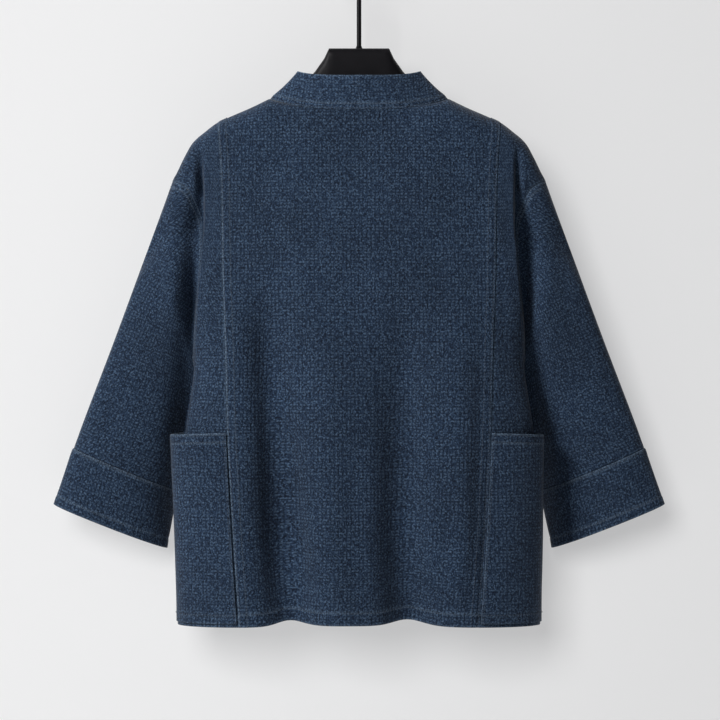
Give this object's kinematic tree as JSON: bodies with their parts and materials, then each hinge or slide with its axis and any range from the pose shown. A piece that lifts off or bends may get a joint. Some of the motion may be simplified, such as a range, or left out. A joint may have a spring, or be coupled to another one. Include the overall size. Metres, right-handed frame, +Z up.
{
  "type": "kimono jacket on hanger",
  "caption": "Kimono-style denim jacket with a standing neckband, wide cuffed sleeves and patch pockets, hanging open on a broad moulded hanger with a wire hook.",
  "frame": {"origin": "inside top of the hanger's hook, where it hangs on a rod", "axes": "+Z up, +X to the wearer's left, -Y to the front of the jacket"},
  "size_m": [0.7648, 0.1428, 0.8528],
  "materials": {
    "denim": "matte, coarse indigo weave",
    "hanger_plastic": "satin black",
    "hook_metal": "satin black"
  },
  "bodies": {
    "root": {"back_panel": "denim", "side_panel_l": "denim", "side_panel_r": "denim", "front_panel_l": "denim", "front_panel_r": "denim", "sleeve_l": "denim", "sleeve_r": "denim", "cuff_l": "denim", "cuff_r": "denim", "neckband_l": "denim", "neckband_r": "denim", "pocket_l": "denim", "pocket_r": "denim", "hanger_body": "hanger_plastic", "hanger_hook": "hook_metal"}
  },
  "joints": []
}
